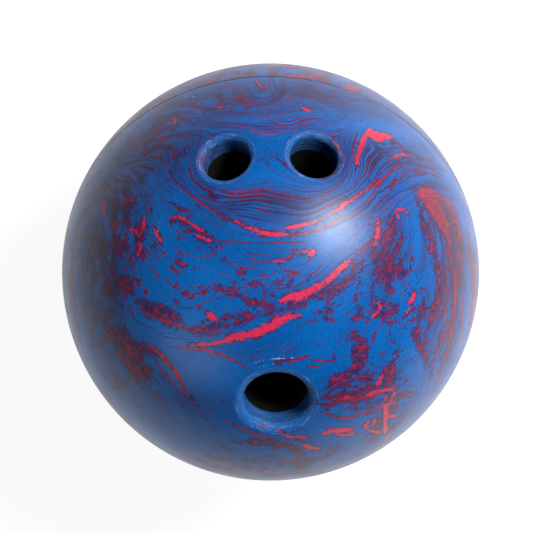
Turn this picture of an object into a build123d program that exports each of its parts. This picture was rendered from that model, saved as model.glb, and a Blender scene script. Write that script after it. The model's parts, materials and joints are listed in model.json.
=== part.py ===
from build123d import *
import os
from math import acos, asin, cos, degrees, radians, sin, tan

# A three-hole bowling ball of hard rubber: two moulded half shells on a cork-and-rubber core,
# with a dense weight block let into the core under the grip.
# Millimetres. The origin is the centre of the ball. +Z goes out through the centre of the grip,
# +Y points to the two finger holes, and -Y points to the thumb hole.

# the ball
BALL_DIAMETER = 217.2           # 8.55 in; the rules allow 8.500 to 8.595 in
COVER_THICKNESS = 10.8

# the joint between the two half shells, a great circle
SEAM_TILT = 26.5                # degrees, the drilled half's pole, from +Z towards the thumb
SEAM_TURN = -5.6                # degrees about +Z
SEAM_BREAK = 0.35               # each half's outer edge is broken, which leaves a fine groove

# the grip; spans are measured over the surface, from edge to edge of the holes
SPAN = 96.84                    # finger hole to thumb hole, 3 13/16 in
BRIDGE = 19.05                  # finger hole to finger hole, 3/4 in

FINGER_DIAMETER = 22.225        # 7/8 in
FINGER_DEPTH = 40.0             # full bore, from the ball's surface along the hole's own axis
FINGER_PITCH = 9.525            # how far from the ball's centre the axis passes, 3/8 in
FINGER_BEVEL = 2.9              # radius of the rounded mouth

THUMB_DIAMETER = 30.1625         # 1 3/16 in
THUMB_DEPTH = 62.0
THUMB_PITCH = 9.525
THUMB_BEVEL = 4.2

DRILL_POINT_ANGLE = 118.0       # degrees, of the cone at the end of each hole

# the weight block, a domed pancake centred under the grip
BLOCK_DIAMETER = 92.0
BLOCK_HEIGHT = 31.0             # from its flat underside to the top of its dome
BLOCK_CORNER = 6.0              # radius round its underside

# worked out from the values above
BALL_RADIUS = BALL_DIAMETER / 2
CORE_RADIUS = BALL_RADIUS - COVER_THICKNESS
BLOCK_FLOOR = CORE_RADIUS - BLOCK_HEIGHT

# for the making only
DRILL_RUN_IN = 20.0             # how far a drill starts outside the ball
EDGE_SEARCH = 0.05              # how near the surface a mouth's edge has to lie

FROM_BOTTOM = (Align.CENTER, Align.CENTER, Align.MIN)


def surface_angle(gap, diameter_a, diameter_b):
    """Angle at the ball's centre, in radians, between two holes with this gap between them."""
    return (gap + diameter_a / 2 + diameter_b / 2) / BALL_RADIUS


def grip_layout():
    """Each hole's name, the middle of its mouth and the point that its axis passes through."""
    side = surface_angle(BRIDGE, FINGER_DIAMETER, FINGER_DIAMETER) / 2
    reach = surface_angle(SPAN, FINGER_DIAMETER, THUMB_DIAMETER)
    # the thumb and the fingers' midline lean away from +Z by the same angle
    lean = acos(cos(reach) / cos(side)) / 2

    def mouth(sideways, forward):
        return BALL_RADIUS * Vector(
            sin(sideways), cos(sideways) * sin(forward), cos(sideways) * cos(forward)
        )

    # forward pitch: the axes pass on the palm's side of the centre
    finger_aim = Vector(0, -FINGER_PITCH, 0)
    thumb_aim = Vector(0, THUMB_PITCH, 0)
    return {
        "left_finger": (mouth(-side, lean), finger_aim),
        "right_finger": (mouth(side, lean), finger_aim),
        "thumb": (mouth(0, -lean), thumb_aim),
    }


def bore_size(name):
    """Diameter, depth and bevel radius of a hole."""
    if name == "thumb":
        return THUMB_DIAMETER, THUMB_DEPTH, THUMB_BEVEL
    return FINGER_DIAMETER, FINGER_DEPTH, FINGER_BEVEL


def drill(name, mouth, aim):
    """The space that one hole takes out of the ball: a cylinder with a cone at its end."""
    diameter, depth, _ = bore_size(name)
    radius = diameter / 2
    point_length = radius / tan(radians(DRILL_POINT_ANGLE / 2))
    profile = Polyline(
        (0, -depth - point_length),
        (radius, -depth),
        (radius, DRILL_RUN_IN),
        (0, DRILL_RUN_IN),
        close=True,
    )
    tool = revolve(Plane.XZ * make_face(profile), Axis.Z)
    return Plane(origin=mouth, z_dir=mouth - aim) * tool


def drills():
    """All three holes, as solids to cut away."""
    return [drill(name, mouth, aim) for name, (mouth, aim) in grip_layout().items()]


def half_shell():
    """Half of the cover, its pole on +Z, with its outer rim broken."""
    rim_angle = degrees(asin(SEAM_BREAK / BALL_RADIUS))
    outside = CenterArc((0, 0), BALL_RADIUS, rim_angle, 90 - rim_angle)
    inside = CenterArc((0, 0), CORE_RADIUS, 0, 90)
    outline = [
        outside,
        Line(outside @ 1, inside @ 1),
        inside,
        Line(inside @ 0, (BALL_RADIUS - SEAM_BREAK, 0)),
        Line((BALL_RADIUS - SEAM_BREAK, 0), outside @ 0),
    ]
    return revolve(Plane.XZ * make_face(outline), Axis.Z)


def seam_turned(shape, half_turn=0):
    """Put a half shell in its place in the ball."""
    return Rotation(0, 0, SEAM_TURN) * Rotation(SEAM_TILT + half_turn, 0, 0) * shape


def drilled_cover_half():
    """The half shell that the grip is drilled in, with the mouths of the holes rounded over."""
    shell = seam_turned(half_shell())
    for tool in drills():
        shell -= tool
    for name, (mouth, _) in grip_layout().items():
        diameter, _, bevel = bore_size(name)

        def on_mouth(edge):
            point = edge.position_at(0.5)
            on_surface = abs(point.length - BALL_RADIUS) < EDGE_SEARCH
            return on_surface and (point - mouth).length < diameter

        shell = fillet(shell.edges().filter_by(on_mouth), bevel)
    return shell


def plain_cover_half():
    """The half shell away from the grip."""
    return seam_turned(half_shell(), half_turn=180)


def block_blank():
    """The weight block before drilling: a disc whose dome is part of the core's own surface."""
    disc = Pos(0, 0, BLOCK_FLOOR) * Cylinder(
        BLOCK_DIAMETER / 2, BLOCK_HEIGHT + BLOCK_CORNER, align=FROM_BOTTOM
    )
    disc = fillet(disc.edges().group_by(Axis.Z)[0], BLOCK_CORNER)
    return disc & Sphere(CORE_RADIUS)


def weight_block():
    """The weight block, with the sides of the holes that pass through it."""
    block = block_blank()
    for tool in drills():
        block -= tool
    return block


def core():
    """The cork-and-rubber ball inside the cover, recessed for the weight block."""
    body = Sphere(CORE_RADIUS) - block_blank()
    for tool in drills():
        body -= tool
    return body


def print_bores():
    """Say where each hole's axis runs, for the mounts."""
    for name, (mouth, aim) in grip_layout().items():
        axis = (mouth - aim).normalized()
        print(f"{name}: mouth {mouth.X:.3f} {mouth.Y:.3f} {mouth.Z:.3f}")
        print(f"{name}: axis {axis.X:.6f} {axis.Y:.6f} {axis.Z:.6f}")


def main():
    os.makedirs("parts", exist_ok=True)
    pieces = {
        "drilled_cover_half": drilled_cover_half(),
        "plain_cover_half": plain_cover_half(),
        "weight_block": weight_block(),
        "core": core(),
    }
    for name, piece in pieces.items():
        piece.label = name
        export_step(piece, f"parts/{name}.step")
    print_bores()


main()
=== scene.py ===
import json
from functools import cached_property
from math import ceil, cos, pi, radians, sin, sqrt, tan

import bmesh
import bpy
import numpy as np
from mathutils import Matrix, Vector
from mathutils.geometry import delaunay_2d_cdt
from mathutils.kdtree import KDTree


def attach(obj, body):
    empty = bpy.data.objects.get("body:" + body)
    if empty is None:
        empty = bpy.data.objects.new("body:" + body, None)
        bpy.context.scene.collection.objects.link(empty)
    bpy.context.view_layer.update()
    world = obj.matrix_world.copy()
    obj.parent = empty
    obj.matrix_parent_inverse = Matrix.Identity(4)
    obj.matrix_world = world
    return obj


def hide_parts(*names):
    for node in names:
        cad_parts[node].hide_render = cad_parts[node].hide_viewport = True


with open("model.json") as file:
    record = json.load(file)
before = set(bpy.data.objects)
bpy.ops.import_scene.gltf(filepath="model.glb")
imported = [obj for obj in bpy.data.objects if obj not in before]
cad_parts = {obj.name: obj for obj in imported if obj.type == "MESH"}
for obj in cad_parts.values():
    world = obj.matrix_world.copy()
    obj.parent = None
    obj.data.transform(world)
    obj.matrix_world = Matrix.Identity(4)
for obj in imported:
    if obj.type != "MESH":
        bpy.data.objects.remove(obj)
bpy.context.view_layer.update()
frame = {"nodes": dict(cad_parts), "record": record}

# The bowling ball's looks: a marbled cover of blue and red hard rubber, in two moulded halves,
# on the cork-and-rubber core and its weight block. Lengths here are in millimetres, and meshes
# are scaled to metres when they are made. +Z goes out through the centre of the grip and +Y
# points to the finger holes.

MM = 0.001
scene = bpy.context.scene
MOUNTS = {mount["name"]: mount for mount in frame["record"]["mounts"]}

# the ball, as designed
BALL_RADIUS = -MOUNTS["rest_cup"]["pos_m"][2] / MM
COVER_THICKNESS = 10.8
CORE_RADIUS = BALL_RADIUS - COVER_THICKNESS
SEAM_TILT = 26.5  # degrees, the drilled half's pole, from +Z towards the thumb
SEAM_TURN = -5.6  # degrees about +Z
SEAM_BREAK = 0.35
BEVELS = {"left_finger_bore": 2.9, "right_finger_bore": 2.9, "thumb_bore": 4.2}
DRILL_RIDGE = 0.03  # height of the drill's marks in the holes
DRILL_RIDGE_PITCH = 1.4

# how finely the meshes are made
SURFACE_STEP = 1.2  # between neighbouring points over most of the cover
DETAIL_STEP = 0.8  # along the streaks
DETAIL_ROWS = (0, 0.6, -0.6, 1.3, -1.3, 2.1, -2.1)  # beside a streak's middle
DETAIL_GAP = 0.5  # the least between two points of those rows
INSIDE_STEP = 3.5  # over the cover's inside
RIM_POINTS = 560
MOUTH_STEP = 0.55  # along a hole's edge
MOUTH_SURROUND = (0.6, 1.2, 1.9)  # of the rings outside a hole's edge
BEVEL_RINGS = 8
WALL_STEP = 0.35
SHARP_ANGLE = 35  # degrees, from which an edge is shaded as sharp
CURVE_STEPS = 16  # in each run of a smooth curve, and round each ring of a layer
TINY = 1e-9  # as good as nothing
GOLDEN_ANGLE = pi * (3 - sqrt(5))
CLOSEST_AREA = 0.866  # that each point takes up, in squares of the step

# how the marbling is laid out
STREAK_STEP = 0.5  # along the line down the middle of a streak
FAR_OUTSIDE = 5.0  # how far round a streak its edge is still worked out
LAYER_STEP = 6.0  # between the known points of a layer
LAYER_DEPTH = 2.5  # how many millimetres down is worth one level
FINGER_RING = 14.5  # radius of the layer round each finger hole
FINGER_LEVEL = 5.0
SPLINE_SCALE = 100.0  # of the lengths in the spline's sums
SPLINE_SLACK = 1e-4  # how freely it may miss the known points
GUIDED_REACH = 118.0  # from the grip's centre; beyond it the layers drift freely
GUIDED_FADE = 30.0
PLACES_AT_ONCE = 4000  # so that the sums fit the memory
FOLDS = ((0.34, 1.6), (0.22, 2.9), (0.12, 5.3), (0.05, 9.7))  # amount and fineness of each wave
DRILLED_SEED = 7
PLAIN_SEED = 23
GROOVE_REACH = 0.9  # how far from the seam the painted shade of its groove reaches


# ---- geometry on the sphere ----

def unit(vectors):
    vectors = np.asarray(vectors, float)
    return vectors / np.linalg.norm(vectors, axis=-1, keepdims=True)


def from_grip(points):
    """Points as distances right and forward over the surface from the grip's centre."""
    direction = unit(points)
    side = np.hypot(direction[:, 0], direction[:, 1])
    arc = BALL_RADIUS * np.arctan2(side, direction[:, 2])
    return direction[:, :2] * (arc / np.maximum(side, TINY))[:, None]


def on_ball(places, radius=1.0):
    """The opposite of from_grip: points on a sphere of the given radius."""
    places = np.asarray(places, float)
    arc = np.hypot(places[:, 0], places[:, 1])
    angle = arc / BALL_RADIUS
    flat = places * (np.sin(angle) / np.maximum(arc, TINY))[:, None]
    return radius * np.column_stack([flat, np.cos(angle)])


def round_circle(count):
    """Points evenly spaced round a circle of radius 1."""
    turn = 2 * pi * np.arange(count) / count
    return np.column_stack([np.cos(turn), np.sin(turn)])


def smooth_line(points, step):
    """Points evenly spaced along a smooth curve (Catmull-Rom) through a few given ones."""
    points = np.asarray(points, float)
    padded = np.vstack([2 * points[0] - points[1], points, 2 * points[-1] - points[-2]])
    t = np.linspace(0, 1, CURVE_STEPS + 1)[:-1, None]
    runs = []
    for a, b, c, d in zip(padded, padded[1:], padded[2:], padded[3:]):
        runs.append(0.5 * (2 * b + (c - a) * t + (2 * a - 5 * b + 4 * c - d) * t ** 2
                           + (3 * b - a - 3 * c + d) * t ** 3))
    curve = np.vstack(runs + [points[-1:]])
    along = np.concatenate([[0], np.cumsum(np.linalg.norm(np.diff(curve, axis=0), axis=1))])
    count = max(3, int(along[-1] / step) + 1)
    at = np.linspace(0, along[-1], count)
    return np.column_stack([np.interp(at, along, curve[:, i]) for i in range(2)])


# ---- the seam and the holes ----

SEAM_FRAME = Matrix.Rotation(radians(SEAM_TURN), 3, "Z") @ Matrix.Rotation(radians(SEAM_TILT), 3, "X")
SEAM_X, SEAM_Y, POLE = (np.array(SEAM_FRAME @ Vector(axis)) for axis in ((1, 0, 0), (0, 1, 0), (0, 0, 1)))


class Bore:
    """One hole of the grip, and the rings of points that its mouth and wall are made of."""

    def __init__(self, name):
        mount = MOUNTS[name]
        self.radius = mount["dims"]["r_mm"]
        self.bevel = BEVELS[name]
        self.axis = unit(mount["axis"])
        middle = np.array(mount["pos_m"]) / MM
        along = middle @ self.axis
        rise = -along + sqrt(along ** 2 - middle @ middle + BALL_RADIUS ** 2)
        self.mouth = middle + rise * self.axis
        side = unit(np.cross(self.axis, (1.0, 0.0, 0.0)))
        count = int(2 * pi * self.radius / MOUTH_STEP)
        self.out = round_circle(count) @ [side, np.cross(self.axis, side)]
        across = np.cross(self.axis, self.out)
        # the ball's centre, seen from the mouth: outward, along the axis, and sideways
        self.centre_out = -self.out @ self.mouth
        self.centre_up = -self.axis @ self.mouth
        self.centre_across = -across @ self.mouth

    def ring(self, outward, up):
        return self.mouth + self.out * np.reshape(outward, (-1, 1)) + np.outer(up, self.axis)

    def sphere_height(self, ball_radius, outward):
        """How high over the mouth the sphere is, at a distance outward from the axis."""
        flat = (outward - self.centre_out) ** 2 + self.centre_across ** 2
        return self.centre_up + np.sqrt(ball_radius ** 2 - flat)

    def bevel_rings(self):
        """Rings over the rounded mouth, from the ball's surface in to the wall, and the wall's top."""
        section = np.sqrt(BALL_RADIUS ** 2 - self.centre_across ** 2)
        middle_out = self.radius + self.bevel
        offset = middle_out - self.centre_out
        middle_up = self.centre_up + np.sqrt((section - self.bevel) ** 2 - offset ** 2)
        start = np.arctan2(middle_up - self.centre_up, offset)
        rings = []
        for share in np.linspace(0, 1, BEVEL_RINGS + 1):
            angle = start + (pi - start) * share
            rings.append(self.ring(middle_out + self.bevel * np.cos(angle),
                                   middle_up + self.bevel * np.sin(angle)))
        return rings, middle_up

    def wall_rings(self, top):
        """Rings down the wall to the core, faintly ridged by the drill."""
        bottom = self.sphere_height(CORE_RADIUS, self.radius)
        count = int(ceil(np.max(top - bottom) / WALL_STEP))
        rings = []
        for share in np.linspace(0, 1, count + 1)[1:]:
            up = top + (bottom - top) * share
            ridge = DRILL_RIDGE * sin(pi * share) * np.sin(2 * pi * up / DRILL_RIDGE_PITCH)
            rings.append(self.ring(self.radius + ridge, up))
        return rings

    def distance(self, points):
        """How far points are from the axis."""
        offset = points - self.mouth
        return np.linalg.norm(offset - np.outer(offset @ self.axis, self.axis), axis=1)

    def near(self, points, reach):
        return (self.distance(points) < reach) & (points @ self.axis > 0)


BORES = [Bore(name) for name in BEVELS]
FINGER_BORES = BORES[:2]


# ---- the marbling, laid out ----
# Places are (right, forward) from the grip's centre, over the surface.

# crimson streaks: the width at the widest, and the line down the middle
STREAKS = {
    "hook_leg": (3.4, [(43, 56), (45, 62), (48, 69), (52, 75), (55, 79)]),
    "hook_head": (4.6, [(53, 77.5), (58, 76), (63, 75.5), (70, 76.5)]),
    "hook_fill": (4.4, [(54, 74), (58, 73), (62, 74)]),
    "dart": (2.6, [(62, 60), (67, 63), (73, 65), (77, 65)]),
    "smile": (1.7, [(-17, 28), (-14, 26), (-11, 24.5), (-6, 22.5), (0, 21), (7, 20.5), (12, 20.5)]),
    "smile_branch": (1.4, [(4, 23), (10, 24), (19, 26), (28, 30), (37, 36), (43, 40)]),
    "middle_band": (2, [(17, -5), (21, -2.5), (25, 0), (30, 4), (34, 7), (38, 10)]),
    "middle_root": (3.2, [(9, -9), (14, -6.5), (19, -4), (23, -1.5)]),
    "middle_blob": (3.3, [(3, -9), (7, -7.5), (11, -6)]),
    "bright": (4.1, [(11, -15.5), (5, -16.5), (-1, -20), (-8, -23), (-17, -25), (-25, -26.5)]),
    "bright_tail": (1.5, [(-17, -26), (-23, -27), (-30, -29), (-36, -29.5), (-41, -30)]),
    "square_spot": (2.8, [(-31, -14), (-27, -17)]),
    "left_comma": (3, [(-93, 46), (-92, 42), (-93, 37)]),
    "left_row": (2, [(-77, 43), (-73, 43), (-69, 41)]),
    "blotch_top": (2, [(-73, 27), (-69, 26), (-66, 23)]),
    "blotch_low": (2, [(-66, 21), (-65, 17), (-66, 13)]),
    "blotch_side": (1.8, [(-63, 33), (-63, 28), (-65, 24)]),
    "wing": (1.3, [(-48, 31), (-43, 30.5), (-38, 27.5), (-33, 24), (-28, 21)]),
    "wing_drop": (1.1, [(-35, 22), (-31, 20), (-27, 18.5)]),
    "dash_left": (1, [(-57, 26), (-55, 23), (-53, 20)]),
    "bean": (1.7, [(-46, 11), (-43, 9), (-40, 8)]),
    "loop": (1, [(-1, 9), (4, 9), (8, 11), (12, 12.5), (18, 12.5)]),
    "loop_end": (2.8, [(18, 13), (17, 10.5)]),
    "fleck_a": (2, [(70, -9), (69, -12), (66, -14)]),
    "fleck_b": (1.8, [(68, -16), (65, -19)]),
    "low_blob": (3.6, [(24, -83), (28, -81.5), (33, -82), (38, -82.5), (42, -83)]),
    "low_blob_b": (2.2, [(31, -85), (37, -86.5), (43, -86.5)]),
    "thumb_foot": (2, [(0, -79), (5, -81.5), (10, -83), (17, -85)]),
    "low_block": (3.4, [(59, -71), (60, -74.5), (60, -78)]),
    "low_stem": (2.9, [(61, -80), (62, -86), (64, -92), (65, -97)]),
    "low_arm": (2, [(62, -81), (66, -80.5), (70, -84)]),
    "low_curl": (1.8, [(50, -79), (48.5, -82), (50.5, -85.5), (54, -89), (60, -93)]),
    "low_bit": (1.6, [(53.5, -78), (53.5, -83)]),
    "low_slash": (2.4, [(69, -108), (69.5, -104), (70, -99)]),
    "hooked_line": (1.7, [(45, -61), (50, -59.5), (56, -59.5), (61, -60), (65, -59.5)]),
    "hooked_drop": (1.7, [(62.5, -61), (62.5, -64), (61.5, -68)]),
    "low_stub": (1.5, [(58, -63), (57.5, -66)]),
    "low_shelf": (1.4, [(54, -67.5), (59, -70), (63.5, -70), (67, -72)]),
    "flag": (2.6, [(51, -56), (52.5, -53), (53.5, -50)]),
    "tongue": (2, [(31, -60), (34, -60), (38, -60)]),
    "low_dash": (1.8, [(14, -90), (17, -92.5), (20, -94), (24, -96)]),
    "upper_blob": (2, [(-53, 90), (-51, 85)]),
    "mass_bit": (2.2, [(51, 27), (50, 21), (48, 15)]),
    "mass_bit_b": (1.3, [(61, 32), (65, 33), (69, 31)]),
    "mass_bit_c": (1.4, [(62, 31), (63, 28)]),
    "mass_bit_d": (1, [(46, -19), (50, -15), (48, -10)]),
    "spot_high": (1.6, [(-27, 93), (-24, 93)]),
    "spot_brow": (2, [(18, 90), (22, 88)]),
    "swirl_hook": (1.6, [(-6, 116), (-5, 112), (-3, 108), (0, 109), (1, 112)]),
}

# ragged maroon smears with crimson in them
SMEARS = {
    "left_blotch": (9, [(-67, 29), (-65, 25), (-66, 20)]),
    "left_drip": (5, [(-66, 20), (-65, 15), (-64, 12)]),
    "left_wing": (2.8, [(-49, 29), (-44, 29), (-40, 27), (-36, 24), (-32, 22), (-28, 20)]),
    "wing_fray": (2.6, [(-37, 21), (-33, 20), (-29, 19)]),
    "left_dash": (1.8, [(-57, 27), (-55, 22), (-52, 18)]),
    "left_bean": (2.2, [(-48, 12), (-45, 10), (-41, 8)]),
    "left_blob": (2.6, [(-11, -9), (-7, -11), (-4, -10.5), (0, -10)]),
    "lower_blob": (2.4, [(-2, -15), (2, -13), (6, -12.5), (11, -12)]),
    "flat_bit": (2.2, [(-25, -16.5), (-19, -16), (-14, -15)]),
    "speckle_row": (3.4, [(-83, 39), (-76, 40), (-70, 41)]),
    "dark_knot": (4, [(-84, 31), (-82, 26), (-81, 22)]),
    "left_curl": (3.6, [(-96, 3), (-91, 5), (-87, 1), (-90, -5)]),
    "left_limb": (8, [(-116, 40), (-122, 18), (-124, -4), (-120, -30)]),
    "bottom_wash": (6, [(-54, -112), (-38, -118), (-16, -124), (10, -125), (36, -124)]),
    "bottom_smudge": (5, [(-24, -86), (-8, -87), (7, -91), (16, -99)]),
    "right_limb_b": (7, [(130, 14), (138, -8), (142, -34)]),
    "left_grain": (7, [(-80, 2), (-74, -1), (-69, -5)]),
    "shelf_wash": (8, [(-66, -10), (-58, -13), (-50, -16), (-42, -19)]),
    "shelf_end": (4, [(-48, -20), (-38, -23), (-28, -21), (-18, -20)]),
    "mass_top": (9, [(-92, -22), (-84, -27), (-75, -31)]),
    "mass_middle": (15, [(-85, -33), (-76, -36), (-68, -37)]),
    "mass_low": (9, [(-82, -42), (-74, -46), (-66, -50)]),
    "mass_tip": (5, [(-72, -32), (-62, -33), (-55, -37)]),
    "limb_spot": (2.6, [(-99, -33), (-98, -37)]),
    "limb_spot_b": (2.4, [(-93, -50), (-90, -56)]),
    "right_wedge": (15, [(80, 44), (88, 37), (95, 28), (99, 16)]),
    "right_wedge_b": (11, [(98, 38), (106, 26), (108, 10), (108, -8)]),
    "right_band": (6.5, [(76, 41), (80, 23), (86, 6), (88, -10), (83, -24), (76, -33)]),
    "right_band_b": (8, [(92, 30), (98, 10), (102, -7), (102, -33), (100, -52), (97, -65)]),
    "right_strip": (5, [(77, -13), (73, -30), (81, -44), (90, -59)]),
    "right_horn": (3, [(73, 42), (77, 46), (86, 47), (95, 46)]),
    "right_limb": (9, [(121, 24), (126, 4), (130, -18), (128, -44)]),
    "right_mass": (7, [(52, 18), (55, 9), (54, 0), (54, -8)]),
    "right_grain": (6, [(60, 30), (57, 22), (54, 14)]),
    "right_foot": (5, [(48, -17), (55, -17), (60, -14)]),
    "fan_top": (5, [(12, -6), (20, -7), (28, -4), (36, 0)]),
    "thumb_mass": (8.5, [(41, -31), (41, -38), (37, -45)]),
    "thumb_mass_c": (8, [(38, -45), (31, -49), (25, -53)]),
    "thumb_mass_b": (7, [(54, -50), (58, -45), (59, -52), (58, -57)]),
    "low_right": (9, [(58, -72), (61, -80), (60, -90), (57, -98)]),
    "red_triangle": (2.6, [(1, -38), (5, -36.5), (10, -36)]),
}

# red threads: thinner and duller
THREADS = {
    "shelf": (1.5, [(-69, -8), (-67, -11), (-64, -14), (-57, -17), (-50, -19), (-42, -21), (-34, -22)]),
    "point": (3, [(-63, -31), (-58, -34), (-54, -38), (-50, -43), (-47, -49), (-45, -56)]),
    "wedge": (10, [(80, 42), (86, 38), (92, 31), (97, 22)]),
    "wedge_top": (7, [(78, 43), (86, 43), (96, 42)]),
    "wedge_outer": (4, [(98, 44), (106, 38), (110, 28), (111, 16)]),
    "hook_line": (1.1, [(62, 67), (68, 69), (73, 69), (78, 68), (83, 66), (90, 62), (100, 61), (116, 64)]),
    "hook_line_b": (0.9, [(76, 62), (83, 60), (91, 60)]),
    "fold_line": (1.3, [(27, 33), (35, 36), (41, 39), (50, 44), (58, 50), (65, 56), (70, 61)]),
    "limb_line": (1.5, [(92, 10), (94, -1), (95, -15), (93, -32), (89, -43)]),
    "limb_line_b": (1.8, [(99, 8), (102, -4), (103, -16), (101, -34)]),
    "limb_line_c": (1.6, [(107, -4), (111, -19), (114, -32), (114, -50), (112, -62)]),
    "lip": (0.8, [(-38, 58), (-36, 51), (-31, 46), (-25, 43), (-18, 41), (-11, 41), (-3, 42), (4, 40),
        (12, 38), (20, 38), (28, 41), (35, 47), (40, 55), (42, 63)]),
    "under_lip": (0.7, [(-40, 50), (-35, 42), (-28, 38), (-20, 36.5), (-7, 37), (3, 36)]),
    "smile_low": (1.3, [(7, 20), (15, 21), (24, 24), (36, 30)]),
    "second_smile": (1, [(37, 36), (45, 41), (54, 50), (60, 55)]),
    "low_smile": (1, [(-33, 24), (-25, 19), (-16, 18), (-8, 17), (3, 17), (15, 17)]),
    "smile_left": (1.2, [(-47, 50), (-40, 43), (-33, 37), (-25, 32), (-17, 28)]),
    "smile_right": (1, [(36, 30), (44, 35), (52, 43), (60, 51), (68, 57), (78, 60)]),
    "outer_fold": (0.9, [(46, 30), (55, 38), (64, 47), (72, 54), (84, 58)]),
    "boundary": (0.9, [(-66, 73), (-60, 67), (-54, 60), (-48, 51)]),
    "middle_tail": (1.1, [(36, 9), (43, 13), (50, 20)]),
    "loop_left": (0.9, [(-9, 7), (-5, 9), (0, 9.5)]),
    "point_thin": (0.9, [(-76, -33), (-64, -35), (-57, -43), (-52, -49), (-48, -56), (-41, -63),
        (-37, -70), (-31, -80)]),
    "second_line": (1.4, [(-52, -31), (-42, -31.5), (-33, -32), (-26, -34), (-19, -37), (-13, -41)]),
    "over_thumb": (1.5, [(6, -38), (11, -36.5), (16, -35)]),
    "over_thumb_b": (1.2, [(15, -37), (21, -38), (28, -39)]),
    "rear_left_edge": (1, [(-88, -17), (-84, -22), (-80, -30), (-74, -37), (-66, -45), (-58, -54)]),
    "thumb_left": (1.7, [(-26, -72), (-20, -75), (-15, -77.5), (-9, -81), (-1, -84.5)]),
    "right_fan": (1.3, [(22, -55), (28, -52), (35, -49.5), (43, -49), (50, -50)]),
    "right_fan_b": (2.4, [(22, -62), (37, -62), (51, -61), (64, -59)]),
    "right_fan_c": (1.8, [(22, -67), (35, -73), (49, -72), (64, -68)]),
    "upper_dash": (1, [(-1, 79), (4, 78), (9, 75)]),
    "low_limb": (1.2, [(71, -71), (74, -80), (78, -88), (84, -97)]),
    "limb_dash": (1.2, [(-56, 93), (-52, 90), (-50, 86)]),
}

# pale scuffs and scratches
SCUFFS = {
    "upper_chip": (1, [(-44, 108), (-43, 106)]),
    "left_scratch": (0.55, [(-54, 29), (-55, 25), (-56, 21)]),
    "cross_scratch": (0.5, [(-88, 14), (-83, 11)]),
    "thumb_brow": (0.9, [(-10, -38), (-5, -36.5), (2, -36), (8, -36)]),
    "thumb_brow_b": (0.7, [(-8, -40.5), (-1, -38.5)]),
}

MARKINGS = {"streak": STREAKS, "smear": SMEARS, "thread": THREADS, "scuff": SCUFFS}

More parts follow.
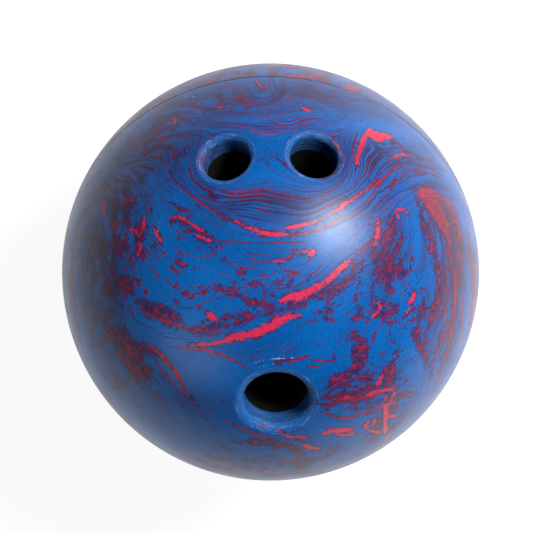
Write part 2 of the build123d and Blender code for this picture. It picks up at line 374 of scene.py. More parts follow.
# where the layers run: a level, and a line that the layers follow there
LAYERS = [
    (-5.5, [(-3, 115), (4, 108), (-3, 101), (-10, 108), (-3, 115)]),
    (-4, [(-17, 108), (-12, 97), (-3, 94), (5, 97), (9, 106)]),
    (-3.5, [(13, 111), (24, 104), (35, 99), (48, 102), (68, 103), (94, 98), (114, 83)]),
    (-3, [(-84, 84), (-74, 93), (-58, 101), (-39, 104)]),
    (-1, [(34, 86), (40, 92), (50, 96), (59, 98), (76, 95), (94, 88), (110, 75)]),
    (0, [(-56, 92), (-40, 87), (-28, 84), (-17, 82), (-6, 81), (4, 83), (14, 86), (27, 89)]),
    (2.5, [(-12, 78), (-6, 76), (3, 75), (13, 76)]),
    (8, [(-37, 71), (-38, 62), (-36, 51), (-29, 45), (-20, 41), (-11, 41), (-3, 42), (4, 40), (15, 38),
        (25, 40), (33, 45), (39, 53), (44, 65), (53, 82), (69, 82), (81, 74), (93, 72), (123, 72)]),
    (9, [(-45, 67), (-43, 56), (-39, 48), (-34, 41), (-27, 37), (-15, 37), (-7, 37), (4, 35), (15, 33),
        (27, 37), (39, 44), (47, 56), (55, 66), (64, 71), (72, 71), (80, 69), (95, 66), (116, 67)]),
    (11, [(-59, 68), (-54, 60), (-47, 50), (-39, 42), (-32, 35), (-27, 33), (-18, 29), (-11, 27),
        (-2, 25), (5, 23), (11, 24), (19, 26), (29, 31), (37, 36), (50, 44), (61, 55), (72, 62), (82, 63),
        (103, 61), (127, 64)]),
    (12.2, [(-56, 57), (-47, 45), (-33, 33), (-24, 26), (-12, 21), (0, 19), (15, 20), (26, 23), (40, 31),
        (53, 42), (68, 55), (78, 58), (101, 56)]),
    (12.9, [(-61, 52), (-50, 37), (-33, 26), (-24, 21), (-13, 18), (0, 16), (12, 17), (26, 21), (42, 29),
        (60, 41), (74, 47), (86, 50), (104, 49)]),
    (15.5, [(-68, 47), (-63, 40), (-57, 27), (-52, 18), (-43, 10), (-29, 6), (-15, 4), (-3, 5), (10, 6),
        (21, 11), (33, 18), (45, 26)]),
    (18.5, [(-22, -8), (-11, -10), (-2, -10), (4, -9), (11, -8), (18, -4), (25, 0), (30, 4), (37, 9),
        (47, 15), (53, 24)]),
    (19, [(-73, 40), (-69, 30), (-67, 13), (-67, 0), (-65, -14), (-57, -17), (-51, -19), (-43, -21),
        (-33, -22)]),
    (21, [(-52, -31), (-41, -30), (-27, -26), (-17, -25), (-8, -23), (-1, -20), (5, -16), (10, -16),
        (23, -11), (35, -4), (46, 4), (56, 14), (62, 22)]),
    (24, [(-33, -32), (-26, -34), (-19, -37), (-12, -40), (-5, -41), (6, -38), (15, -35), (25, -34),
        (36, -29), (46, -19), (57, -11)]),
    (26, [(20, -55), (26, -52), (34, -49), (43, -49), (50, -50), (58, -45), (64, -35)]),
    (27.5, [(21, -60), (31, -59), (42, -58), (53, -58), (64, -58), (71, -48)]),
    (27, [(21, -64), (35, -65), (44, -64), (54, -63), (65, -63), (77, -54)]),
    (26, [(22, -68), (31, -71), (45, -73), (56, -73), (68, -71), (81, -68)]),
    (22, [(-77, -27), (-63, -32), (-55, -37), (-48, -46), (-45, -55), (-43, -61)]),
    (22.5, [(-37, -70), (-31, -81), (-20, -90), (-4, -92), (17, -90)]),
    (24, [(-92, 45), (-93, 34), (-93, 17), (-96, 3), (-95, -10), (-88, -17), (-84, -22), (-78, -33),
        (-69, -43), (-60, -55), (-52, -67)]),
    (27, [(-112, 63), (-111, 36), (-111, 12), (-110, -17), (-104, -37), (-95, -58), (-80, -82),
        (-63, -98), (-48, -114), (-17, -124), (15, -129)]),
    (25.5, [(69, 30), (68, 20), (66, 10), (63, 2), (69, -6), (76, -13), (76, -23), (70, -32)]),
    (24.2, [(79, 38), (84, 26), (85, 13), (86, -1), (89, -12), (84, -23), (76, -33)]),
    (22, [(90, 40), (97, 26), (100, 12), (101, -4), (100, -18), (95, -32), (90, -47), (88, -60)]),
    (18, [(104, 40), (113, 22), (120, 2), (120, -16), (117, -33), (107, -52), (98, -68)]),
    (14, [(73, 44), (80, 47), (90, 46)]),
]

# how strongly each effect shows, as soft patches: right, forward, half length, half breadth,
# degrees that the length is turned, and amount
PATCHES = {
    "fine_lines": [
        (4, 36, 42, 10, 0, 1), (-38, 62, 10, 19, -20, 0.9), (40, 56, 12, 26, 20, 0.9),
        (48, 54, 30, 20, 20, 1), (84, 66, 34, 12, 0, 0.8), (55, 35, 30, 12, 40, 0.85),
        (0, 102, 80, 16, 0, 1), (0, 82, 42, 12, 0, 0.9), (-60, 84, 34, 22, 40, 0.15),
        (108, 0, 26, 70, 0, 1), (45, -62, 32, 16, 0, 0.5), (95, 26, 12, 30, 0, 1),
    ],
    "faint_lines": [
        (0, 58, 60, 40, 0, 0.5), (-60, 84, 40, 30, 40, 0.3), (84, 40, 40, 40, 0, 0.8),
    ],
    "blotches": [
        (-88, 30, 24, 34, 0, 1), (-68, 22, 10, 14, 0, 0.9), (-86, 0, 14, 22, 0, 1),
        (-74, 8, 12, 14, 0, 0.75), (-60, -12, 14, 4, -20, 0.85), (-20, -19, 22, 5, 8, 1),
        (-76, -38, 24, 12, -50, 1), (-36, 20, 12, 5, -25, 0.7), (-14, -4, 26, 7, 8, 0.85),
        (8, 1, 14, 6, 0, 0.6), (-98, 30, 10, 30, 0, 0.9), (4, -13, 18, 5, 20, 1),
        (32, -8, 26, 8, 32, 0.95), (52, 5, 17, 28, -10, 1), (54, -16, 22, 10, 0, 1),
        (54, -36, 14, 10, 30, 0.3), (46, -58, 26, 13, 0, 0.85), (64, -84, 18, 20, 0, 1),
        (92, -40, 12, 26, 20, 0.9), (-66, 78, 28, 20, 40, 0.95), (-20, -112, 60, 14, 5, 0.9),
        (-30, 98, 30, 10, 0, 0.7), (20, -92, 36, 8, 0, 0.6), (-100, -30, 10, 30, 20, 0.8),
        (-92, -58, 8, 20, 40, 0.7), (36, -28, 12, 6, 40, 0.75), (-42, -56, 8, 5, 0, 0.5),
        (72, -20, 8, 20, 0, 0.7),
    ],
    "flecks": [
        (-6, -1, 48, 13, 5, 1), (-48, 10, 22, 16, 0, 0.9), (-72, 14, 22, 30, 0, 1),
        (54, 4, 14, 24, -10, 0.9), (58, -20, 16, 8, 0, 0.8), (54, -66, 28, 20, 0, 0.8),
        (0, -104, 60, 10, 0, 0.7), (-60, 78, 30, 18, 40, 0.6), (98, 0, 14, 44, 0, 0.8),
    ],
    "dusk": [
        (-78, 60, 44, 28, 40, 1), (-50, 88, 32, 12, 0, 0.8), (40, 102, 70, 14, 0, 0.7),
        (-4, 112, 60, 12, 0, 0.4), (-94, 16, 18, 50, 0, 1), (-84, 40, 20, 26, 0, 1),
        (-84, -60, 34, 20, -40, 0.3), (72, 66, 44, 12, 10, 0.6), (102, 20, 22, 50, 0, 0.5),
        (-40, -62, 16, 8, 0, 0.5), (-10, 34, 44, 6, 0, 0.5), (40, -60, 30, 10, 0, 0.4),
        (-32, 46, 12, 20, 0, 0.45), (34, 46, 12, 20, 0, 0.4), (56, 10, 10, 18, -10, 0.6),
        (-56, 106, 30, 12, 10, 0.9),
    ],
}


def layer_levels(places):
    """The marbling's layers as one smooth height (a thin-plate spline), level along each line."""
    known, level = [], []
    for value, points in LAYERS:
        line = smooth_line(points, LAYER_STEP)
        known.append(line)
        level += [value] * len(line)
    for bore in FINGER_BORES:
        known.append(from_grip(bore.mouth[None]) + FINGER_RING * round_circle(CURVE_STEPS))
        level += [FINGER_LEVEL] * CURVE_STEPS
    known = np.vstack(known) / SPLINE_SCALE
    count = len(known)

    def bend(a, b):
        squared = ((a[:, None] - b[None]) ** 2).sum(2)
        return squared * np.log(np.maximum(squared, 1e-6))

    def flat(points):
        return np.column_stack([np.ones(len(points)), points])

    system = np.zeros((count + 3, count + 3))
    system[:count, :count] = bend(known, known) + SPLINE_SLACK * np.eye(count)
    system[:count, count:] = flat(known)
    system[count:, :count] = flat(known).T
    weights = np.linalg.solve(system, np.concatenate([level, np.zeros(3)]))
    result = []
    for part in np.array_split(places / SPLINE_SCALE, max(1, len(places) // PLACES_AT_ONCE)):
        result.append(bend(part, known) @ weights[:count] + flat(part) @ weights[count:])
    return np.concatenate(result)


def folded(points, strength, seed):
    """Points, in ball radii, after broad waves have folded the rubber over a few times."""
    rng = np.random.default_rng(seed)
    moved = points / BALL_RADIUS
    for amount, fineness in FOLDS:
        turned = unit(rng.normal(size=(3, 3)))
        phase = rng.uniform(0, 2 * pi, 3)
        waves = np.sin(moved @ turned.T * fineness + phase)
        moved = moved + amount * np.reshape(strength, (-1, 1)) * np.roll(waves, 1, axis=1)
    return moved


def outer_slope():
    """How the listed layers rise across the ball where they end: along x, y, z, and a constant."""
    turn = np.linspace(0, 2 * pi, 240)
    places = GUIDED_REACH * np.column_stack([np.cos(turn), np.sin(turn)])
    rows = np.column_stack([on_ball(places), np.ones(len(places))])
    return np.linalg.lstsq(rows, layer_levels(places), rcond=None)[0]


LAYER_SLOPE = outer_slope()


def patches(places, patch_list):
    """The strength of an effect over the surface, from its soft patches."""
    total = np.zeros(len(places))
    for right, forward, half_length, half_breadth, turn, amount in patch_list:
        angle = radians(turn)
        offset = places - (right, forward)
        along = (offset[:, 0] * cos(angle) + offset[:, 1] * sin(angle)) / half_length
        across = (offset[:, 1] * cos(angle) - offset[:, 0] * sin(angle)) / half_breadth
        total = np.maximum(total, amount * np.exp(-0.7 * (along ** 2 + across ** 2) ** 1.5))
    return total


def streak_depths(places, streaks):
    """How far inside the nearest streak each place is; outside it is below zero."""
    depth = np.full(len(places), -FAR_OUTSIDE)
    for width, points in streaks.values():
        line = smooth_line(points, STREAK_STEP)
        low, high = line.min(0) - FAR_OUTSIDE, line.max(0) + FAR_OUTSIDE
        close = np.flatnonzero(((places > low) & (places < high)).all(1))
        if not len(close):
            continue
        # full width over the middle of its length, tapering to both ends
        t = np.linspace(0, 1, len(line))
        half = width / 2 * np.minimum(1, 0.25 + 2.6 * np.minimum(t, 1 - t)) ** 0.7
        gaps = np.linalg.norm(places[close][:, None] - line[None], axis=2)
        depth[close] = np.maximum(depth[close], (half[None] - gaps).max(1))
    return depth


# ---- the cover's meshes ----

def spread_over_cap(pole_side, step, lowest):
    """Evenly spread points over half a unit sphere, down to a height over its rim."""
    count = int(2 * pi * BALL_RADIUS ** 2 / (CLOSEST_AREA * step ** 2))
    index = np.arange(count) + 0.5
    height = 1 - index / count
    turn = index * GOLDEN_ANGLE
    flat = np.sqrt(1 - height ** 2)
    local = np.column_stack([flat * np.cos(turn), flat * np.sin(turn), height * pole_side])
    local = local[height > lowest]
    return local @ np.array([SEAM_X, SEAM_Y, POLE])


def keep_apart(points, gap):
    """The points, less any that come too close to an earlier one."""
    cells = {}
    kept = []
    for point in points:
        x, y, z = np.floor(point / gap).astype(int)
        around = [cells.get((x + i, y + j, z + k))
                  for i in (-1, 0, 1) for j in (-1, 0, 1) for k in (-1, 0, 1)]
        if all(other is None or np.dot(point - other, point - other) >= gap ** 2 for other in around):
            cells[x, y, z] = point
            kept.append(point)
    return np.array(kept)


def detail_rows():
    """Points along each streak and beside it, so that its edges come out clean."""
    rows = []
    for streaks in MARKINGS.values():
        for _, points in streaks.values():
            line = smooth_line(points, DETAIL_STEP)
            along = unit(np.gradient(line, axis=0))
            across = np.column_stack([-along[:, 1], along[:, 0]])
            for offset in DETAIL_ROWS:
                rows.append((abs(offset), line + offset * across))
    rows.sort(key=lambda row: row[0])
    return on_ball(np.vstack([row for _, row in rows]), BALL_RADIUS)


def outside_points(pole_side, bores):
    """Points over a half's outside: evenly spread, and closer together along the streaks."""
    lowest = 0.5 * SURFACE_STEP / BALL_RADIUS

    def clear(points, margin):
        """The points that aren't too near to the rim or to a hole."""
        kept = points @ POLE * pole_side > lowest * BALL_RADIUS
        for bore in bores:
            kept &= ~bore.near(points, bore.radius + bore.bevel + MOUTH_SURROUND[-1] + margin)
        return points[kept]

    spread = clear(spread_over_cap(pole_side, SURFACE_STEP, lowest) * BALL_RADIUS, 1.0)
    if not bores:
        return spread
    detail = keep_apart(clear(detail_rows(), 0.9), DETAIL_GAP)
    tree = KDTree(len(detail))
    for index, point in enumerate(detail):
        tree.insert(point, index)
    tree.balance()
    spread = spread[[tree.find(point)[2] > 0.7 * SURFACE_STEP for point in spread]]
    return np.vstack([detail, spread])


def inside_points(pole_side, bores):
    points = spread_over_cap(pole_side, INSIDE_STEP, 0.6 * INSIDE_STEP / CORE_RADIUS) * CORE_RADIUS
    for bore in bores:
        points = points[~bore.near(points, bore.radius + 0.5 * INSIDE_STEP)]
    return points


def put_in_scene(name, data):
    thing = bpy.data.objects.new(name, data)
    scene.collection.objects.link(thing)
    return thing


class Shell:
    """The points and faces of one half of the cover, as it is put together."""

    def __init__(self, pole_side, bores):
        self.pole_side = pole_side
        self.points = []
        self.faces = []
        self.turned = []  # how far down a hole's mouth and wall each point is
        rim = self.circle(sqrt(BALL_RADIUS ** 2 - SEAM_BREAK ** 2), SEAM_BREAK)
        broken = self.circle(BALL_RADIUS - SEAM_BREAK, 0)
        inner_rim = self.circle(CORE_RADIUS, 0)
        self.band(rim, broken)
        self.band(broken, inner_rim)
        outside, mouths, floors = [rim], [], []
        for bore in bores:
            surround, mouth, floor = self.drilled(bore)
            outside += surround + [mouth]
            mouths.append(mouth)
            floors.append(floor)
        outside.append(self.add(outside_points(pole_side, bores)))
        inside = [inner_rim, *floors, self.add(inside_points(pole_side, bores))]
        self.skin(outside, mouths)
        self.skin(inside, floors)

    def add(self, points, turned=0.0):
        """Take in some points, and give back their numbers."""
        start = sum(map(len, self.points))
        self.points.append(points)
        self.turned.append(np.broadcast_to(turned, len(points)))
        return np.arange(start, start + len(points))

    def circle(self, radius, height):
        """A ring of points round the seam."""
        flat = radius * round_circle(RIM_POINTS) @ [SEAM_X, SEAM_Y]
        return self.add(flat + height * self.pole_side * POLE)

    def band(self, ring_a, ring_b):
        """Four-sided faces between two rings of as many points."""
        next_a, next_b = np.roll(ring_a, -1), np.roll(ring_b, -1)
        self.faces += np.column_stack([ring_a, next_a, next_b, ring_b]).tolist()

    def drilled(self, bore):
        """A hole's mouth and wall: the rings round it, at its edge and at the core."""
        bevel, top = bore.bevel_rings()
        edge = bore.distance(bevel[0])
        surround = [self.add(bore.ring(edge + gap, bore.sphere_height(BALL_RADIUS, edge + gap)))
                    for gap in MOUTH_SURROUND]
        rings, travelled, previous = [], 0.0, bevel[0]
        for points in bevel + bore.wall_rings(top):
            travelled = travelled + np.linalg.norm(points - previous, axis=1)
            previous = points
            rings.append(self.add(points, travelled))
            if len(rings) > 1:
                self.band(rings[-2], rings[-1])
        return surround, rings[0], rings[-1]

    def skin(self, groups, loops):
        """Triangles over the half sphere that these points are on, except inside the loops."""
        indices = np.concatenate(groups)
        directions = unit(np.vstack(self.points)[indices])
        x, y, z = np.array([SEAM_X, SEAM_Y * self.pole_side, POLE * self.pole_side]) @ directions.T
        # laid flat, from the far pole
        laid = [Vector(p) for p in zip(x / (1 + z), y / (1 + z))]
        _, _, faces, originals, _, _ = delaunay_2d_cdt(laid, [], [], 0, TINY)
        first = np.array([o[0] for o in originals])
        triangles = indices[first[np.array(faces)]]
        for loop in loops:
            triangles = triangles[~np.isin(triangles, loop).all(1)]
        self.faces += triangles.tolist()

    def make(self, name):
        mesh = bpy.data.meshes.new(name)
        mesh.from_pydata((np.vstack(self.points) * MM).tolist(), [], self.faces)
        body = bmesh.new()
        body.from_mesh(mesh)
        bmesh.ops.recalc_face_normals(body, faces=body.faces)
        body.to_mesh(mesh)
        body.free()
        mesh.shade_smooth()
        mesh.set_sharp_from_angle(angle=radians(SHARP_ANGLE))
        return put_in_scene(name, mesh)


def mark(piece, name, values):
    layer = piece.data.attributes.new(name, "FLOAT", "POINT")
    layer.data.foreach_set("value", np.asarray(values, np.float32))


def marble(shell, piece, drilled):
    """Store the layout of the marbling on a half's points."""
    points = np.vstack(shell.points)
    places = from_grip(points)
    depth = (BALL_RADIUS - np.linalg.norm(points, axis=1)) / LAYER_DEPTH
    guided = np.zeros(len(points))
    if drilled:
        beyond = np.clip((np.linalg.norm(places, axis=1) - GUIDED_REACH) / GUIDED_FADE, 0, 1)
        guided = 1 - beyond * beyond * (3 - 2 * beyond)
    moved = folded(points, 1 - guided, DRILLED_SEED if drilled else PLAIN_SEED)
    levels = np.column_stack([moved, np.ones(len(points))]) @ LAYER_SLOPE
    known = guided > 0
    if known.any():
        levels[known] += guided[known] * (layer_levels(places[known]) - levels[known])
    mark(piece, "level", levels + depth)
    mark(piece, "guided", guided)
    mark(piece, "turned", np.concatenate(shell.turned))
    # painted shade: how close each point is to the seam's groove
    mark(piece, "groove", np.exp(-(points @ POLE / GROOVE_REACH) ** 2))
    for name, streaks in MARKINGS.items():
        mark(piece, name, streak_depths(places, streaks if drilled else {}))
    for name, patch_list in PATCHES.items():
        mark(piece, name, guided * patches(places, patch_list))


# ---- materials ----

# sRGB colours of the rubber as it looks in the studio, and where each comes on its ramp
BLUES = ((0.36, (0, 80, 152)), (0.50, (0, 91, 167)), (0.64, (2, 98, 177)))
REDS = ((0.0, (26, 58, 126)), (0.35, (46, 38, 92)), (0.50, (76, 32, 70)), (0.68, (118, 32, 64)),
        (0.84, (172, 38, 68)), (1.0, (206, 44, 80)))
DUSKY = (42, 22, 50)
SPECKS = (10, 34, 86)
# painted shade in the seam's groove
GROOVE_SHADE = (14, 22, 44)
SCUFFED = (150, 182, 210)
# painted shade: the darker blue further down inside the holes
WALL_SHADE = (8, 44, 72)
DUST = (132, 168, 204)
PIGMENT_DEPTH = 0.74  # the strong studio light makes up for darker pigments
RUBBER_SHINE = 0.23
DULL_SHINE = 0.1

# the places of the colour sockets of Blender's Mix node
MIX_FIRST, MIX_SECOND, MIX_RESULT = 6, 7, 2


def linear(colour, depth=1.0):
    """A colour given in sRGB, 0 to 255, as Blender's shaders take it, darkened by a depth."""
    parts = np.array(colour) / 255
    parts = depth * np.where(parts <= 0.04045, parts / 12.92, ((parts + 0.055) / 1.055) ** 2.4)
    return (*parts.tolist(), 1.0)


def pigment(colour):
    return linear(colour, PIGMENT_DEPTH)


class Value:
    """A number, vector or colour that nodes work out, so that sums can be written with it."""

    def __init__(self, graph, socket):
        self.graph = graph
        self.socket = socket

    def __add__(self, other):
        return self.graph.math("ADD", self, other)

    def __mul__(self, other):
        return self.graph.math("MULTIPLY", self, other)

    def __sub__(self, other):
        return self.graph.math("SUBTRACT", self, other)

    def __rsub__(self, other):
        return self.graph.math("SUBTRACT", other, self)

    __radd__ = __add__
    __rmul__ = __mul__


class Graph:
    """The nodes of a material or a world, written as expressions."""

    def __init__(self, owner, shader="Principled BSDF"):
        owner.use_nodes = True
        self.owner = owner
        self.tree = owner.node_tree
        self.shader = self.tree.nodes[shader]

    @cached_property
    def place(self):
        """Object coordinates in millimetres."""
        return self.scaled(self.node("TexCoord", "Object"), 1 / MM)

    def set(self, socket, value):
        if isinstance(value, Value):
            self.tree.links.new(value.socket, socket)
        else:
            socket.default_value = value

    def shade(self, **inputs):
        for name, value in inputs.items():
            self.set(self.shader.inputs[name.replace("_", " ")], value)

    def node(self, kind, output, inputs=(), **settings):
        """One of the outputs of a new node with these settings and inputs."""
        node = self.tree.nodes.new("ShaderNode" + kind)
        for name, value in settings.items():
            setattr(node, name, value)
        for socket, value in inputs:
            self.set(node.inputs[socket], value)
        return Value(self, node.outputs[output])

    def math(self, operation, *values):
        return self.node("Math", 0, enumerate(values), operation=operation)

    def highest(self, first, *others):
        for other in others:
            first = self.math("MAXIMUM", first, other)
        return first

    def scaled(self, vector, factor):
        return self.node("VectorMath", 0, ((0, vector), ("Scale", factor)), operation="SCALE")

    def attribute(self, name):
        return self.node("Attribute", "Fac", attribute_name=name)

    def step(self, low, high, value, bottom=0.0, top=1.0):
        """From bottom to top as a value goes from low to high, eased at both ends."""
        inputs = (("Value", value), ("From Min", low), ("From Max", high), ("To Min", bottom),
                  ("To Max", top))
        return self.node("MapRange", "Result", inputs, interpolation_type="SMOOTHSTEP")

    def noise(self, fineness, w=None, detail=4.0, roughness=0.5):
        inputs = [("Vector", self.scaled(self.place, fineness)), ("Scale", 1.0), ("Detail", detail),
                  ("Roughness", roughness)]
        if w is not None:
            inputs.append(("W", w))
        return self.node("TexNoise", "Fac", inputs, noise_dimensions="3D" if w is None else "4D")

    def wander(self, amount, fineness, **settings):
        """Noise on both sides of zero."""
        return (self.noise(fineness, **settings) - 0.5) * amount

    def ramp(self, value, stops):
        result = self.node("ValToRGB", "Color", [("Fac", value)])
        entries = result.socket.node.color_ramp.elements
        while len(entries) < len(stops):
            entries.new(0.5)
        for entry, (position, colour) in zip(entries, stops):
            entry.position = position
            entry.color = colour
        return result

    def mix(self, share, first, second):
        inputs = (("Factor", share), (MIX_FIRST, first), (MIX_SECOND, second))
        return self.node("Mix", MIX_RESULT, inputs, data_type="RGBA")

    def bump(self, height, distance, strength, normal=None):
        inputs = [("Height", height), ("Distance", distance * MM), ("Strength", strength)]
        if normal is not None:
            inputs.append(("Normal", normal))
        return self.node("Bump", "Normal", inputs)


class MarbledRubber(Graph):
    """The cover's material. Each kind of marking has its redness, from 0 to 1, and the highest of
    them gives the colour."""

    def __init__(self):
        super().__init__(bpy.data.materials.new("marbled_rubber"))
        self.level = (self.attribute("level") + self.wander(1.0, 0.045, detail=2.0)
                      + self.wander(0.14, 0.25, detail=3.0))
        self.free = 1.0 - self.attribute("guided")  # where the layers drift freely
        self.broad = self.strata(0.014, 0.28, detail=4.0)
        self.dust = self.wander(0.16, 0.7, detail=5.0, roughness=0.75)
        self.mottled = self.strata(0.42, 1.2, roughness=0.62)
        middle = self.strata(0.17, 0.9, roughness=0.62) - 0.5
        vein = self.step(0.0, 0.027, self.math("ABSOLUTE", middle), 1.0, 0.0)
        self.mottle = self.highest(self.step(0.48, 0.58, self.mottled) * 0.85, vein)
        self.frayed = (self.wander(5.0, 0.10, w=self.level * 2.0, detail=6.0, roughness=0.62)
                       + self.wander(2.2, 0.5)
                       + self.wander(3.4, 1.1, roughness=0.7))

    def strata(self, fineness, layers, detail=6.0, roughness=0.5):
        """Noise that changes over the surface, and faster from layer to layer."""
        return self.noise(fineness, self.level * layers, detail, roughness)

    def share(self, name, drifting):
        """How strongly an effect shows, as laid out and where it drifts."""
        return self.highest(self.attribute(name), self.free * drifting)

    def fine_lines(self):
        lines = self.strata(0.022, 6.0, detail=3.0, roughness=0.6)
        cut = 0.60 - 0.11 * self.share("fine_lines", 0.6)
        strength = self.step(0.44, 0.60, self.strata(0.03, 1.7, detail=3.0), 0.26, 0.66)
        return self.step(0.0, 0.04, lines - cut) * strength

    def faint_lines(self):
        lines = self.step(0.51, 0.60, self.strata(0.02, 10.0, detail=2.0))
        return lines * self.highest(self.attribute("fine_lines"), self.attribute("faint_lines")) * 0.30

    def blotches(self):
        """Ragged blotches with feathered edges, mottled and veined with crimson."""
        ragged = self.strata(0.15, 0.7, detail=8.0, roughness=0.68) + self.dust * 1.8
        cut = 0.61 - 0.135 * self.share("blotches", self.step(0.46, 0.58, self.broad))
        return self.step(-0.01, 0.05, ragged - cut) * (0.30 + self.mottle * 0.46)

    def flecks(self):
        flecks = self.strata(0.17, 2.4, roughness=0.68)
        return self.step(0.0, 0.02, flecks - (0.66 - 0.12 * self.share("flecks", 0.7)), 0.0, 0.64)

    def streaks(self):
        """The crimson streaks, each with a duller, broken fringe."""
        inside = self.attribute("streak") + self.frayed
        core = self.step(-0.2, 0.3, inside) * self.step(0.38, 0.46, self.mottled, 0.90, 1.0)
        fringe = self.step(-1.8, 0.0, inside) * self.step(0.47, 0.55, self.mottled, 0.0, 0.62)
        return self.highest(core, fringe)

    def smears(self):
        torn = self.wander(17.0, 0.15, w=self.level * 0.8, detail=7.0, roughness=0.68)
        inside = self.attribute("smear") + torn + self.dust * 55.0
        return self.step(-1.5, 2.0, inside) * (0.36 + self.mottle * 0.44)

    def threads(self):
        inside = self.attribute("thread") + self.frayed * 0.22
        return self.step(-0.3, 0.3, inside) * self.step(0.42, 0.58, self.mottled, 0.68, 0.82)

    def strays(self):
        """Broad red bands where the layers drift."""
        return self.free * self.step(0.60, 0.63, self.strata(0.03, 0.6, roughness=0.58)) * 0.8

    def marbling(self):
        """The colour of the moulded rubber."""
        redness = self.highest(self.fine_lines(), self.faint_lines(), self.blotches(), self.flecks(),
                               self.streaks(), self.smears(), self.threads(), self.strays())
        blue, red = ([(position, pigment(colour)) for position, colour in stops] for stops in (BLUES, REDS))
        return self.mix(self.step(0.02, 0.34, redness),
                        self.ramp(self.broad + self.wander(0.35, 0.9, detail=3.0), blue),
                        self.ramp(redness, red))

    def soiled_and_shaded(self, colour):
        """The colour under dusky clouds, dark specks, painted shade along the seam's groove and pale
        scuffs.
        """
        clouds = self.step(0.40, 0.60, self.strata(0.07, 0.5, roughness=0.66), 0.4, 1.0)
        specks = self.step(0.57, 0.64, self.noise(1.0, detail=3.0, roughness=0.6))
        scuffs = self.step(0.0, 0.25, self.attribute("scuff") + self.wander(2.0, 0.6))
        # the seam's groove gets painted shade; the clouds, specks and scuffs are the rubber's own marks
        for share, over in ((self.share("dusk", 0.3) * clouds * 0.9, DUSKY), (specks * 0.35, SPECKS),
                            (self.attribute("groove") * 0.8, GROOVE_SHADE), (scuffs * 0.55, SCUFFED)):
            colour = self.mix(share, colour, pigment(over))
        return colour

    def finish(self):
        """The whole surface. Turning marks dull the mouths and walls of the holes, and painted shade
        darkens the walls further down.
        """
        turned = self.attribute("turned")
        machined = self.step(0.0, 0.6, turned)
        inside = self.step(3.5, 7.5, turned)
        rings = self.noise(0.22, w=turned * 2.6, detail=5.0, roughness=0.7)
        dusty = machined * self.step(0.53, 0.62, rings, 0.0, 0.45) * self.step(0.0, 1.0, inside, 1.0, 0.6)
        # painted shade: the walls turn darker blue further down the holes
        colour = self.mix(inside * 0.55, self.soiled_and_shaded(self.marbling()), pigment(WALL_SHADE))
        wear = self.bump(self.noise(1.3, detail=6.0, roughness=0.7), 0.09, 0.5)
        dull = self.step(0.3, 0.7, self.noise(0.08), 0.31, 0.37)
        self.shade(Base_Color=self.mix(dusty, colour, pigment(DUST)),
                   Normal=self.bump(rings * machined, 0.12, 0.6, wear),
                   Roughness=dull + machined * 0.3, Specular_IOR_Level=RUBBER_SHINE)
        return self.owner


def cork_rubber(name, dark, pale, grain):
    """Ground cork bound in black rubber."""
    graph = Graph(bpy.data.materials.new(name))
    scaled = graph.scaled(graph.place, grain)
    granules = graph.node("TexVoronoi", "Color", (("Vector", scaled), ("Scale", 1.0)))
    speck = graph.step(0.25, 0.95, graph.math("POWER", granules, 1.6))
    mottled = graph.noise(grain * 2.5, detail=5.0, roughness=0.65)
    edges = Value(graph, granules.socket.node.outputs["Distance"])
    graph.shade(Base_Color=graph.mix(speck * mottled, linear(dark), linear(pale)),
                Normal=graph.bump(edges + mottled, 0.25, 0.6),
                Roughness=graph.step(0.3, 0.7, mottled, 0.82, 0.95), Specular_IOR_Level=DULL_SHINE)
    return graph.owner


# ---- the ball ----

rubber = MarbledRubber().finish()
for name, stands_for, pole_side, bores in (
        ("marbled_drilled_half", "drilled_cover_half", 1, BORES),
        ("marbled_plain_half", "plain_cover_half", -1, [])):
    shell = Shell(pole_side, bores)
    piece = shell.make(name)
    marble(shell, piece, bool(bores))
    piece.data.materials.append(rubber)
    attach(piece, "root")
    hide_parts(stands_for)

for name, material in (
        ("core", cork_rubber("core_rubber", (4, 4, 4), (15, 12, 10), 0.55)),
        ("weight_block", cork_rubber("block_rubber", (5, 5, 6), (15, 15, 16), 1.4))):
    node = frame["nodes"][name]
    node.data.materials.clear()
    node.data.materials.append(material)


# ---- floor, camera and light ----
# Lengths are in metres from here on.

FLOOR_HALF = 1.6
FLOOR_GREY = 0.11
FLOOR_GLOW = (0.925, 1.8)  # painted light: the floor glows, brighter from the left to the right as if another lamp lit it
FLOOR_GLOW_REACH = (-60.0, 320.0)  # millimetres right of the ball's centre
STAND_OFF = 6.5 * BALL_RADIUS * MM  # from the ball's centre to the camera
SENSOR = 36.0  # millimetres
OUTLINE_SHARE = 0.7829  # the ball's width in the picture, of the picture's
HALF_ANGLE = 0.15444  # half the angle that the ball is seen under
LENS_SHIFT = (-0.0079, 0.0103)  # which puts the ball a little off the picture's middle
TILT = Vector((0.0368, 0.0128, 0.0268))  # how the ball is turned from facing the camera squarely
STUDIO_LIGHT = 0.05  # how dim the backdrop is, except to the camera

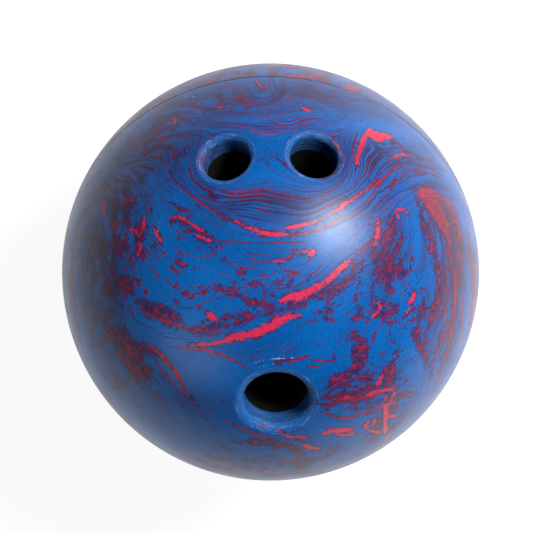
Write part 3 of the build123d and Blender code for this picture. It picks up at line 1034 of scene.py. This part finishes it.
floor_mesh = bpy.data.meshes.new("floor")
floor_mesh.from_pydata([(x * FLOOR_HALF, y * FLOOR_HALF, -BALL_RADIUS * MM)
                        for x, y in ((-1, -1), (1, -1), (1, 1), (-1, 1))], [], [(0, 1, 2, 3)])
floor = put_in_scene("floor", floor_mesh)
paper = Graph(bpy.data.materials.new("white_paper"))
across = paper.node("SeparateXYZ", "X", [(0, paper.place)])
# painted light: the paper glows, more towards the right
paper.shade(Base_Color=(FLOOR_GREY, FLOOR_GREY, FLOOR_GREY, 1), Roughness=0.9,
            Specular_IOR_Level=DULL_SHINE, Emission_Color=(1, 1, 1, 1),
            Emission_Strength=paper.step(*FLOOR_GLOW_REACH, across, *FLOOR_GLOW))
floor_mesh.materials.append(paper.owner)

facing = Matrix.Rotation(TILT.length, 3, TILT.normalized()).transposed()
lens = bpy.data.cameras.new("camera")
lens.sensor_width = SENSOR
lens.lens = SENSOR * OUTLINE_SHARE / 2 / tan(HALF_ANGLE)
lens.shift_x, lens.shift_y = LENS_SHIFT
scene.camera = put_in_scene("camera", lens)
scene.camera.matrix_world = Matrix.Translation(facing @ Vector((0, 0, STAND_OFF))) @ facing.to_4x4()


def soft_light(name, towards, distance, size, power):
    light = bpy.data.lights.new(name, "AREA")
    light.shape = "DISK"
    light.size = size
    light.energy = power
    place = facing @ (Vector(towards).normalized() * distance)
    aim = place.to_track_quat("Z", "Y").to_matrix().to_4x4()
    put_in_scene(name, light).matrix_world = Matrix.Translation(place) @ aim


soft_light("key", towards=(0.535, 0.35, 0.77), distance=1.6, size=0.50, power=52)
soft_light("fill", towards=(-0.60, -0.62, 0.51), distance=1.8, size=0.9, power=8)

# a dim studio, whose backdrop only the camera sees as white
studio = Graph(bpy.data.worlds.new("studio"), "Background")
to_camera = studio.node("LightPath", "Is Camera Ray")
studio.shade(Color=(1, 1, 1, 1), Strength=studio.step(0.0, 1.0, to_camera, STUDIO_LIGHT, 1.0))
scene.world = studio.owner
scene.view_settings.view_transform = "Standard"

bpy.context.view_layer.update()
